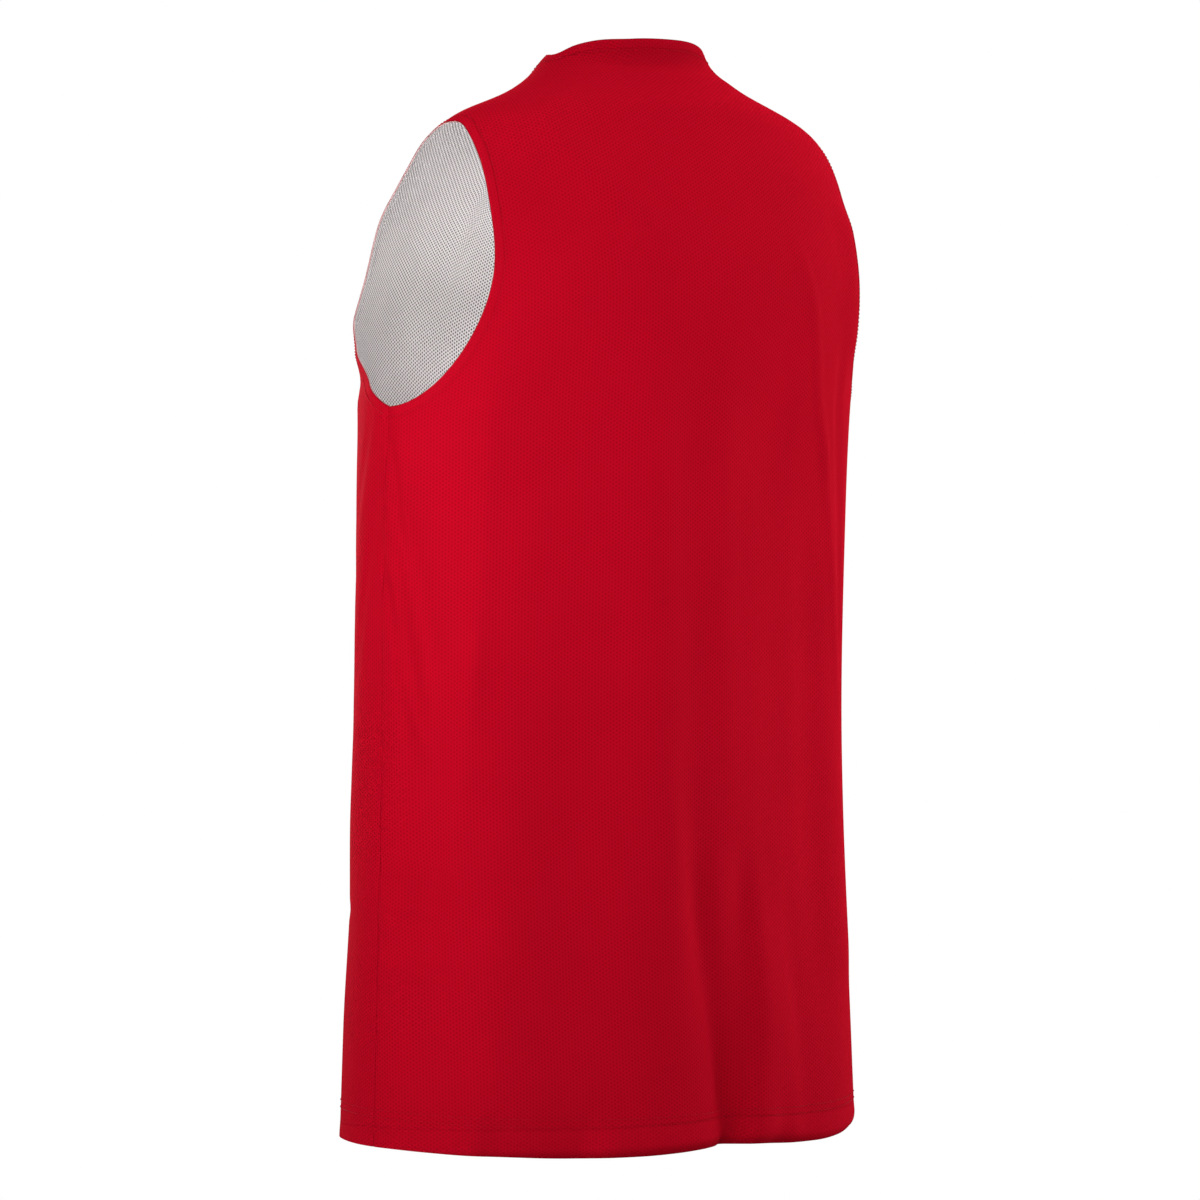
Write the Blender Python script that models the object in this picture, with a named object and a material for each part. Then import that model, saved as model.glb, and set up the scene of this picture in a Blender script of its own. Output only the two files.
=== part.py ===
"""Reversible basketball jersey, filled out and hollow, as cut and sewn cloth walls.

Frame: metres, +Z up, the wearer faces -Y and +X is the wearer's left.  The origin lies
between the shoulders, where the wearer holds the jersey up.

The cloth follows one smooth body of level rings.  A place on it is an angle round the
ring (0 at the centre back, growing towards the wearer's left, 180 at the centre front)
and a level, which runs from 0 at the hem to 1 at the top of the neck.  Every piece is a
wall on that body: two red pieces outside and two white pieces, the reverse side, inside.
"""

import bpy
import bmesh
import numpy as np

MM = 0.001

# Cloth
WALL = 1.0 * MM
LAYER_GAP = 0.3 * MM
SEAM_GAP = 0.3 * MM
REVERSE_HEM_RISE = 4.0 * MM

# Body of the garment: level rings, each half an ellipse at the back and half at the front
SECTION_COLUMNS = ("height", "half_width", "back_depth", "front_depth", "centre_y", "front_rise")
SECTIONS = (
    (0.000, 0.211, 0.131, 0.137, -0.032, 0.015),   # hem
    (0.100, 0.208, 0.127, 0.131, -0.032, 0.010),
    (0.206, 0.205, 0.121, 0.125, -0.032, 0.004),
    (0.312, 0.203, 0.118, 0.122, -0.031, 0.000),   # waist
    (0.430, 0.204, 0.117, 0.122, -0.028, 0.000),
    (0.525, 0.205, 0.115, 0.126, -0.022, 0.000),   # underarm
    (0.567, 0.206, 0.120, 0.132, -0.020, 0.000),   # chest and shoulder blades
    (0.610, 0.205, 0.118, 0.126, -0.015, 0.000),
    (0.650, 0.199, 0.107, 0.111, -0.012, 0.000),
    (0.690, 0.182, 0.090, 0.082, -0.006, 0.000),
    (0.714, 0.162, 0.079, 0.062, -0.004, 0.000),   # shoulder tips
    (0.734, 0.115, 0.068, 0.051, -0.001, 0.000),
    (0.752, 0.080, 0.056, 0.045, -0.005, 0.000),   # foot of the neck
    (0.778, 0.058, 0.043, 0.043, -0.004, 0.000),   # top of the neck
)
HELD_HEIGHT = 0.714          # height of the origin above the hem
SIDE_SEAM_ANGLE = 87.0

# Armhole, an oval on the body round the side seam's angle
ARM_BOTTOM = 0.518
ARM_TOP = 0.7185
ARM_BACK_WIDTH = 33.0        # degrees from the side seam to the back edge
ARM_FRONT_WIDTH = 39.0
ARM_BACK_LEAN = 0.02
ARM_FRONT_LEAN = 0.12
ARM_SQUARENESS = 0.85        # 1 is an ellipse, less is squarer

# Neckline
NECK_TOP = 0.777
NECK_SIDE_DIP = 0.006
NECK_FRONT_DROP = 0.100
NECK_HALF_WIDTH = 0.061

# Shoulder seam, forward of the shoulder's ridge
SEAM_FORWARD_AT_ARM = 0.028
SEAM_FORWARD_AT_NECK = 0.020

# Folds: soft ridges (out is above 0) and troughs (out is below 0), from a head down to a foot.
# Angles and half widths are in degrees round the ring, heights in metres, out in millimetres.
FOLD_COLUMNS = ("head_angle", "head_height", "foot_angle", "foot_height",
                "head_half", "foot_half", "head_out", "foot_out")
FOLDS = (
    # back, beside the centre line
    (16.0, 0.60, 11.0, 0.05, 10.0, 12.0, 1.5, 3.0),
    (4.5, 0.56, -2.5, 0.02, 17.0, 14.0, -2.0, -6.0),
    (3.5, 0.20, -4.5, 0.00, 6.0, 6.0, -4.0, -4.0),
    (-8.5, 0.20, -6.0, 0.00, 5.0, 6.0, -4.5, -5.0),
    (-15.0, 0.42, -15.0, 0.00, 9.0, 8.0, 1.5, 4.0),
    (-26.0, 0.62, -40.0, 0.38, 7.0, 7.0, 2.0, 2.0),
    (-24.0, 0.18, -23.0, 0.00, 6.0, 7.0, -1.0, -3.0),
    (-45.0, 0.30, -48.0, 0.00, 12.0, 14.0, 1.5, 4.0),
    # back, towards the wearer's left side
    (33.0, 0.40, 30.0, 0.00, 14.0, 16.0, -1.0, -3.5),
    (50.0, 0.34, 49.0, 0.00, 10.0, 12.0, 1.0, 3.0),
    (70.0, 0.24, 66.0, 0.00, 9.0, 10.0, -2.0, -2.5),
    # sides
    (84.0, 0.46, 79.0, 0.26, 6.0, 6.0, 1.5, 2.0),
    (-75.0, 0.40, -73.0, 0.00, 9.0, 10.0, -1.0, -3.0),
    (-84.0, 0.46, -80.0, 0.24, 6.0, 7.0, 1.5, 2.5),
    (101.0, 0.48, 108.0, 0.20, 7.0, 9.0, 1.5, 2.5),
    (-103.0, 0.47, -110.0, 0.18, 7.0, 9.0, 1.5, 3.0),
    # front
    (168.0, 0.52, 163.0, 0.00, 13.0, 13.0, -1.5, -6.0),
    (182.0, 0.44, 184.0, 0.00, 11.0, 11.0, 1.0, 4.0),
    (201.0, 0.50, 206.0, 0.00, 12.0, 12.0, -1.5, -5.0),
    (146.0, 0.36, 141.0, 0.00, 11.0, 12.0, 1.0, 4.0),
    (225.0, 0.30, 228.0, 0.00, 12.0, 13.0, 1.0, 4.0),
    (126.0, 0.22, 123.0, 0.00, 10.0, 10.0, -1.0, -3.5),
)
FOLD_FADE = 0.09             # length over which a fold dies out at each end
FOLD_SPREAD = 1.6            # a fold's whole reach to each side, in half widths
OPEN_FOOT = 0.10             # a fold whose foot is lower than this runs out through the hem

# Mesh of a panel, for each half of it
NECK_COLUMNS = 5
SEAM_COLUMNS = 9
SIDE_ROWS = 13
ARM_ROWS = 11
NECK_SHARE = 0.36            # the neck's share of the panel's half width
CENTRE_AT_UNDERARM = 0.470   # height on the centre line of the row that meets the underarm
LINE_POINTS = 400            # points on each cut line
LEVEL_POINTS = 2001          # points of the table from height to level
ANGLE_STEP = 0.05            # steps over which the surface's slope is taken
LEVEL_STEP = 0.0005
SMOOTH_SHADING_ANGLE = 40.0

RED = (0.42, 0.004, 0.016, 1.0)
WHITE = (0.72, 0.69, 0.69, 1.0)
CLOTH_ROUGHNESS = 0.75


def column(name):
    return SECTION_COLUMNS.index(name)


def natural_spline(knots, values):
    """A smooth curve through a row of values at each knot, with no bend at either end."""
    knots = np.asarray(knots, float)
    values = np.asarray(values, float)
    count = len(knots)
    span = np.diff(knots)
    system = np.eye(count)
    right = np.zeros((count, values.shape[1]))
    slope = np.diff(values, axis=0) / span[:, None]
    for i in range(1, count - 1):
        system[i, i - 1] = span[i - 1]
        system[i, i] = 2 * (span[i - 1] + span[i])
        system[i, i + 1] = span[i]
        right[i] = 6 * (slope[i] - slope[i - 1])
    bend = np.linalg.solve(system, right)

    def curve(at):
        at = np.asarray(at, float)
        i = np.clip(np.searchsorted(knots, at, side="right") - 1, 0, count - 2)
        width = span[i][..., None]
        after = (at - knots[i])[..., None]
        before = width - after
        cubic = (bend[i] * before**3 + bend[i + 1] * after**3) / (6 * width)
        from_low = (values[i] / width - bend[i] * width / 6) * before
        from_high = (values[i + 1] / width - bend[i + 1] * width / 6) * after
        return cubic + from_low + from_high

    return curve


def section_curve():
    """Levels grow with the cloth's own length, taken halfway between the side and the spine."""
    rows = np.array(SECTIONS)
    height = rows[:, column("height")]
    side = np.stack([rows[:, column("half_width")], height], axis=1)
    spine_y = rows[:, column("centre_y")] + rows[:, column("back_depth")]
    spine = np.stack([spine_y, height], axis=1)
    steps = np.linalg.norm(np.diff(side, axis=0), axis=1) + np.linalg.norm(np.diff(spine, axis=0), axis=1)
    knots = np.concatenate([[0.0], np.cumsum(steps)])
    return natural_spline(knots / knots[-1], rows)


SECTION_AT = section_curve()
LEVELS = np.linspace(0, 1, LEVEL_POINTS)
HEIGHTS = SECTION_AT(LEVELS)[:, column("height")]


def level_at(height):
    return np.interp(height, HEIGHTS, LEVELS)


def ring_point(angle, level):
    """A point of the body before its folds, with heights counted from the hem."""
    section = SECTION_AT(level)
    turn = np.radians(angle)
    towards_back = np.cos(turn)
    depth = np.where(towards_back >= 0, section[..., column("back_depth")], section[..., column("front_depth")])
    x = section[..., column("half_width")] * np.sin(turn)
    y = section[..., column("centre_y")] + depth * towards_back
    z = section[..., column("height")] + section[..., column("front_rise")] * (1 - towards_back) / 2
    return np.stack([x, y, z], axis=-1)


def outward_normal(angle, level, point_at):
    """The outward normal of the surface that point_at gives."""
    low = np.clip(level - LEVEL_STEP, 0, 1)
    high = np.clip(level + LEVEL_STEP, 0, 1)
    round_ring = point_at(angle + ANGLE_STEP, level) - point_at(angle - ANGLE_STEP, level)
    up_ring = point_at(angle, high) - point_at(angle, low)
    normal = np.cross(up_ring, round_ring)
    return normal / np.linalg.norm(normal, axis=-1, keepdims=True)


def smooth_step(x):
    x = np.clip(x, 0, 1)
    return x * x * (3 - 2 * x)


def fold_out(angle, height):
    """How far the folds push the cloth out at an angle and height, in metres."""
    total = np.zeros(np.broadcast(angle, height).shape)
    for row in FOLDS:
        fold = dict(zip(FOLD_COLUMNS, row))
        length = fold["head_height"] - fold["foot_height"]
        down = np.clip((fold["head_height"] - height) / length, 0, 1)
        centre = fold["head_angle"] + (fold["foot_angle"] - fold["head_angle"]) * down
        half = fold["head_half"] + (fold["foot_half"] - fold["head_half"]) * down
        out = fold["head_out"] + (fold["foot_out"] - fold["head_out"]) * down
        away = (angle - centre + 180) % 360 - 180
        across = (1 + np.cos(np.pi * np.clip(away / (FOLD_SPREAD * half), -1, 1))) / 2
        below_head = smooth_step((fold["head_height"] + FOLD_FADE / 2 - height) / FOLD_FADE)
        above_foot = 1.0
        if fold["foot_height"] > OPEN_FOOT:
            above_foot = smooth_step((height - fold["foot_height"] + FOLD_FADE / 2) / FOLD_FADE)
        total = total + out * MM * across * below_head * above_foot
    return total


def cloth_point(angle, level):
    """A point of the outer face of the cloth, folds included, in the part's frame."""
    base = ring_point(angle, level)
    out = fold_out(angle, base[..., 2])
    placed = base + out[..., None] * outward_normal(angle, level, ring_point)
    return placed - np.array([0.0, 0.0, HELD_HEIGHT])


# ---- cut lines of the pieces, each a row of (angle, level) ----

def armhole_line():
    """The left armhole from the underarm up the back edge, over the shoulder and down the front."""
    turn = np.linspace(0, 2 * np.pi, LINE_POINTS)
    height = (ARM_TOP + ARM_BOTTOM) / 2 - (ARM_TOP - ARM_BOTTOM) / 2 * np.cos(turn)
    on_back = turn <= np.pi
    width = np.where(on_back, ARM_BACK_WIDTH, ARM_FRONT_WIDTH)
    lean = np.where(on_back, ARM_BACK_LEAN, ARM_FRONT_LEAN)
    swing = np.sign(np.sin(turn)) * np.abs(np.sin(turn)) ** ARM_SQUARENESS
    angle = SIDE_SEAM_ANGLE - width * swing * (1 - lean * np.cos(turn))
    return np.stack([angle, level_at(height)], axis=1)


def neck_line():
    """The left half of the neckline from the centre back to the centre front."""
    back_angle = np.linspace(0, 90, LINE_POINTS)
    back_height = NECK_TOP - NECK_SIDE_DIP * np.sin(np.radians(back_angle)) ** 2
    back = np.stack([back_angle, level_at(back_height)], axis=1)
    turn = np.linspace(0, np.pi / 2, LINE_POINTS)[1:]
    level = level_at(NECK_TOP - NECK_SIDE_DIP - NECK_FRONT_DROP * np.sin(turn))
    half_width = SECTION_AT(level)[:, column("half_width")]
    from_side = np.arcsin(np.clip(NECK_HALF_WIDTH * np.cos(turn) / half_width, 0, 1))
    front = np.stack([180 - np.degrees(from_side), level], axis=1)
    return np.concatenate([back, front])


def run_lengths(line):
    points = ring_point(line[:, 0], line[:, 1])
    steps = np.linalg.norm(np.diff(points, axis=0), axis=1)
    return np.concatenate([[0.0], np.cumsum(steps)])


def point_along(line, length):
    runs = run_lengths(line)
    return np.stack([np.interp(length, runs, line[:, k]) for k in (0, 1)], axis=-1)


def split_line(line, length):
    """The two stretches of a line, before and after a length along it."""
    runs = run_lengths(line)
    joint = point_along(line, length)[None]
    before = np.concatenate([line[runs < length], joint])
    after = np.concatenate([joint, line[runs > length]])
    return before, after


def spaced(line, count):
    """count + 1 points, evenly spaced along a line."""
    return point_along(line, np.linspace(0, run_lengths(line)[-1], count + 1))


def cut_lines():
    """The armhole, neckline and shoulder seam as the back and the front share them."""
    arm = armhole_line()
    to_tip = run_lengths(arm)[np.argmax(arm[:, 1])]
    arm_back, arm_front = split_line(arm, to_tip + SEAM_FORWARD_AT_ARM)
    neck = neck_line()
    to_ridge = run_lengths(neck)[LINE_POINTS - 1]
    neck_back, neck_front = split_line(neck, to_ridge + SEAM_FORWARD_AT_NECK)
    share = np.linspace(0, 1, LINE_POINTS)[:, None]
    seam = neck_back[-1] * (1 - share) + arm_back[-1] * share
    return {
        "back": (arm_back, neck_back),
        "front": (arm_front[::-1], neck_front[::-1]),
        "seam": seam,
        "underarm_level": arm[0, 1],
    }


def to_flat(line, centre):
    """(angle, level) to (distance from the centre line, level), close to the flat cut."""
    half_width = SECTION_AT(line[..., 1])[..., column("half_width")]
    return np.stack([half_width * np.abs(line[..., 0] - centre), line[..., 1]], axis=-1)


def from_flat(flat, centre):
    half_width = SECTION_AT(flat[..., 1])[..., column("half_width")]
    turn = flat[..., 0] / half_width
    return np.stack([np.abs(centre - turn), flat[..., 1]], axis=-1)


def panel_places(side, hem_height):
    """(angle, level) of each grid point of the back or the front, hem row first."""
    lines = cut_lines()
    arm, neck = lines[side]
    centre = 0.0 if side == "back" else 180.0
    hem_level = level_at(hem_height)
    seam_levels = np.linspace(hem_level, lines["underarm_level"], SIDE_ROWS + 1)
    side_seam = np.stack([np.full(SIDE_ROWS + 1, SIDE_SEAM_ANGLE), seam_levels], axis=1)
    outer = np.concatenate([side_seam, spaced(arm, ARM_ROWS)[1:]])
    top = np.concatenate([spaced(neck, NECK_COLUMNS), spaced(lines["seam"], SEAM_COLUMNS)[1:]])
    across = np.concatenate([
        np.linspace(0, NECK_SHARE, NECK_COLUMNS + 1),
        np.linspace(NECK_SHARE, 1, SEAM_COLUMNS + 1)[1:],
    ])
    up = run_lengths(outer) / run_lengths(outer)[-1]
    hem = np.stack([centre + (SIDE_SEAM_ANGLE - centre) * across, np.full_like(across, hem_level)], axis=1)
    centre_level = np.interp(up, [0, up[SIDE_ROWS], 1], [hem_level, level_at(CENTRE_AT_UNDERARM), top[0, 1]])
    inner = np.stack([np.full_like(up, centre), centre_level], axis=1)

    hem, top, inner, outer = (to_flat(line, centre) for line in (hem, top, inner, outer))
    s, r = (grid[..., None] for grid in np.meshgrid(across, up))
    corners = (1 - s) * (1 - r) * hem[0] + s * (1 - r) * hem[-1] + (1 - s) * r * top[0] + s * r * top[-1]
    blend = (1 - r) * hem[None] + r * top[None] + (1 - s) * inner[:, None] + s * outer[:, None] - corners
    left = from_flat(blend, centre)
    right = left[:, :0:-1] * np.array([-1, 1])
    return np.concatenate([right, left], axis=1)


def open_seams(points):
    """Draws a panel's side edges and shoulder edges in by half the gap of a seam."""
    drawn = points.copy()

    def draw_in(edge, neighbour):
        towards = points[neighbour] - points[edge]
        towards = towards / np.linalg.norm(towards, axis=-1, keepdims=True)
        drawn[edge] = points[edge] + towards * SEAM_GAP / 2

    side = slice(0, SIDE_ROWS + 1)
    draw_in((side, 0), (side, 1))
    draw_in((side, -1), (side, -2))
    for shoulder in (slice(0, SEAM_COLUMNS + 1), slice(-SEAM_COLUMNS - 1, None)):
        draw_in((-1, shoulder), (-2, shoulder))
    return drawn


def wall_mesh(name, outer, inner):
    """A closed wall between two grids of points that match."""
    rows, columns = outer.shape[:2]
    mesh = bpy.data.meshes.new(name)
    form = bmesh.new()
    skins = [[[form.verts.new(point) for point in row] for row in grid] for grid in (outer, inner)]
    for grid in skins:
        for i in range(rows - 1):
            for j in range(columns - 1):
                form.faces.new((grid[i][j], grid[i][j + 1], grid[i + 1][j + 1], grid[i + 1][j]))
    border = [(0, j) for j in range(columns)]
    border += [(i, columns - 1) for i in range(1, rows)]
    border += [(rows - 1, j) for j in range(columns - 2, -1, -1)]
    border += [(i, 0) for i in range(rows - 2, 0, -1)]
    for (i, j), (k, l) in zip(border, border[1:] + border[:1]):
        form.faces.new((skins[0][i][j], skins[0][k][l], skins[1][k][l], skins[1][i][j]))
    bmesh.ops.recalc_face_normals(form, faces=form.faces)
    bmesh.ops.triangulate(form, faces=form.faces)
    form.to_mesh(mesh)
    form.free()
    mesh.shade_smooth()
    mesh.set_sharp_from_angle(angle=np.radians(SMOOTH_SHADING_ANGLE))
    return mesh


def cloth_material(name, colour):
    material = bpy.data.materials.new(name)
    material.use_nodes = True
    shader = material.node_tree.nodes["Principled BSDF"]
    shader.inputs["Base Color"].default_value = colour
    shader.inputs["Roughness"].default_value = CLOTH_ROUGHNESS
    shader.inputs["Metallic"].default_value = 0.0
    return material


def cut_panel(name, side, depth, hem_height, material):
    """One sewn piece: a wall whose outer face lies a depth inside the body's surface."""
    places = panel_places(side, hem_height)
    angle, level = places[..., 0], places[..., 1]
    surface = open_seams(cloth_point(angle, level))
    normal = outward_normal(angle, level, cloth_point)
    mesh = wall_mesh(name, surface - normal * depth, surface - normal * (depth + WALL))
    mesh.materials.append(material)
    panel = bpy.data.objects.new(name, mesh)
    bpy.context.scene.collection.objects.link(panel)


def main():
    for startup in list(bpy.data.objects):
        bpy.data.objects.remove(startup, do_unlink=True)
    outer_cloth = cloth_material("outer_mesh", RED)
    reverse_cloth = cloth_material("reverse_mesh", WHITE)
    reverse_depth = WALL + LAYER_GAP
    cut_panel("back_outer", "back", 0.0, 0.0, outer_cloth)
    cut_panel("front_outer", "front", 0.0, 0.0, outer_cloth)
    cut_panel("back_reverse", "back", reverse_depth, REVERSE_HEM_RISE, reverse_cloth)
    cut_panel("front_reverse", "front", reverse_depth, REVERSE_HEM_RISE, reverse_cloth)


main()
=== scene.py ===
"""Reversible basketball jersey: fine mesh-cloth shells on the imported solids.

Each of the four cut pieces is replaced by a thin shell on the same body of level rings, with
the finer creases, turned edges, topstitching and eyelet cloth that the solids leave out.
An angle runs round the body, 0 at the centre back and growing towards the wearer's left, and
a level runs from 0 at the hem to 1 at the top of the neck.  Lengths are in metres.
"""

import bpy
import numpy as np
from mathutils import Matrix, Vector


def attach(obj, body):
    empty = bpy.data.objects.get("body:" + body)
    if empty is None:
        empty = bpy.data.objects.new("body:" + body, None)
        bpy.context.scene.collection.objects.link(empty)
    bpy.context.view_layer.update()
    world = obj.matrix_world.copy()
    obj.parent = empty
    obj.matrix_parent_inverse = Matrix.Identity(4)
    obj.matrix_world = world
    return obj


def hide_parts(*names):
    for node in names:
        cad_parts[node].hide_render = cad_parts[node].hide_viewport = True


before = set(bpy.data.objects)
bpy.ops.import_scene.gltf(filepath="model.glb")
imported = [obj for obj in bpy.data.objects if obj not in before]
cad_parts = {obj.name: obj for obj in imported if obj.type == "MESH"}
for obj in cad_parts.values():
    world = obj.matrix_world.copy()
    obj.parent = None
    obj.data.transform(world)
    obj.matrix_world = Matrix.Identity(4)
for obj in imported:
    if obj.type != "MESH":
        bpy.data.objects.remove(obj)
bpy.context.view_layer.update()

MM = 0.001
UP = np.array([0.0, 0.0, 1.0])

# ---- the body that the solids follow ----
SECTION_COLUMNS = ("height", "half_width", "back_depth", "front_depth", "centre_y", "front_rise")
SECTIONS = (
    (0.000, 0.211, 0.131, 0.137, -0.032, 0.015),   # hem
    (0.100, 0.208, 0.127, 0.131, -0.032, 0.010),
    (0.206, 0.205, 0.121, 0.125, -0.032, 0.004),
    (0.312, 0.203, 0.118, 0.122, -0.031, 0.000),   # waist
    (0.430, 0.204, 0.117, 0.122, -0.028, 0.000),
    (0.525, 0.205, 0.115, 0.126, -0.022, 0.000),   # underarm
    (0.567, 0.206, 0.120, 0.132, -0.020, 0.000),   # chest and shoulder blades
    (0.610, 0.205, 0.118, 0.126, -0.015, 0.000),
    (0.650, 0.199, 0.107, 0.111, -0.012, 0.000),
    (0.690, 0.182, 0.090, 0.082, -0.006, 0.000),
    (0.714, 0.162, 0.079, 0.062, -0.004, 0.000),   # shoulder tips
    (0.734, 0.115, 0.068, 0.051, -0.001, 0.000),
    (0.752, 0.080, 0.056, 0.045, -0.005, 0.000),   # foot of the neck
    (0.778, 0.058, 0.043, 0.043, -0.004, 0.000),   # top of the neck
)
HELD_HEIGHT = 0.714          # height of the frame's origin above the hem
SIDE_SEAM_ANGLE = 87.0

# The armhole: degrees from the side seam to its edges, and how square its outline is
ARM_BOTTOM = 0.5165
ARM_TOP = 0.7145
ARM_BACK_WIDTH = 32.5
ARM_FRONT_WIDTH = 39.0
ARM_BACK_LEAN = 0.02
ARM_FRONT_LEAN = 0.10
ARM_BACK_SQUARENESS = 0.93
ARM_FRONT_SQUARENESS = 0.85
ARM_FRONT_UNDERCUT = 1.7     # the front edge leaves the underarm more steeply than the back edge

NECK_TOP = 0.777
NECK_SIDE_DIP = 0.0075
NECK_DIP_POWER = 3
NECK_FRONT_DROP = 0.100
NECK_HALF_WIDTH = 0.061

# Shoulder seam, forward of the shoulder's ridge
SEAM_FORWARD_AT_ARM = 0.028
SEAM_FORWARD_AT_NECK = 0.020

# The folds of the solids: angles and half widths in degrees, heights in metres, out in mm
FOLD_COLUMNS = ("head_angle", "head_height", "foot_angle", "foot_height",
                "head_half", "foot_half", "head_out", "foot_out")
FOLDS = (
    (16, 0.60, 11, 0.05, 10, 12, 1.5, 3),
    (4.5, 0.56, -2.5, 0.02, 17, 14, -2, -6),
    (3.5, 0.20, -4.5, 0.00, 6, 6, -4, -4),
    (-8.5, 0.20, -6, 0.00, 5, 6, -4.5, -5),
    (-15, 0.42, -15, 0.00, 9, 8, 1.5, 4),
    (-26, 0.62, -40, 0.38, 7, 7, 2, 2),
    (-24, 0.18, -23, 0.00, 6, 7, -1, -3),
    (-45, 0.30, -48, 0.00, 12, 14, 1.5, 4),
    (33, 0.40, 30, 0.00, 14, 16, -1, -3.5),
    (50, 0.34, 49, 0.00, 10, 12, 1, 3),
    (70, 0.24, 66, 0.00, 9, 10, -2, -2.5),
    (84, 0.46, 79, 0.26, 6, 6, 1.5, 2),
    (-75, 0.40, -73, 0.00, 9, 10, -1, -3),
    (-84, 0.46, -80, 0.24, 6, 7, 1.5, 2.5),
    (101, 0.48, 108, 0.20, 7, 9, 1.5, 2.5),
    (-103, 0.47, -110, 0.18, 7, 9, 1.5, 3),
    (168, 0.52, 163, 0.00, 13, 13, -1.5, -6),
    (182, 0.44, 184, 0.00, 11, 11, 1, 4),
    (201, 0.50, 206, 0.00, 12, 12, -1.5, -5),
    (146, 0.36, 141, 0.00, 11, 12, 1, 4),
    (225, 0.30, 228, 0.00, 12, 13, 1, 4),
    (126, 0.22, 123, 0.00, 10, 10, -1, -3.5),
)
FOLD_FADE = 0.09             # length over which a fold dies out at each end
FOLD_SPREAD = 1.6            # a fold's whole reach to each side, in half widths
OPEN_FOOT = 0.10             # a fold whose foot is lower than this runs out through the hem

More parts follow.
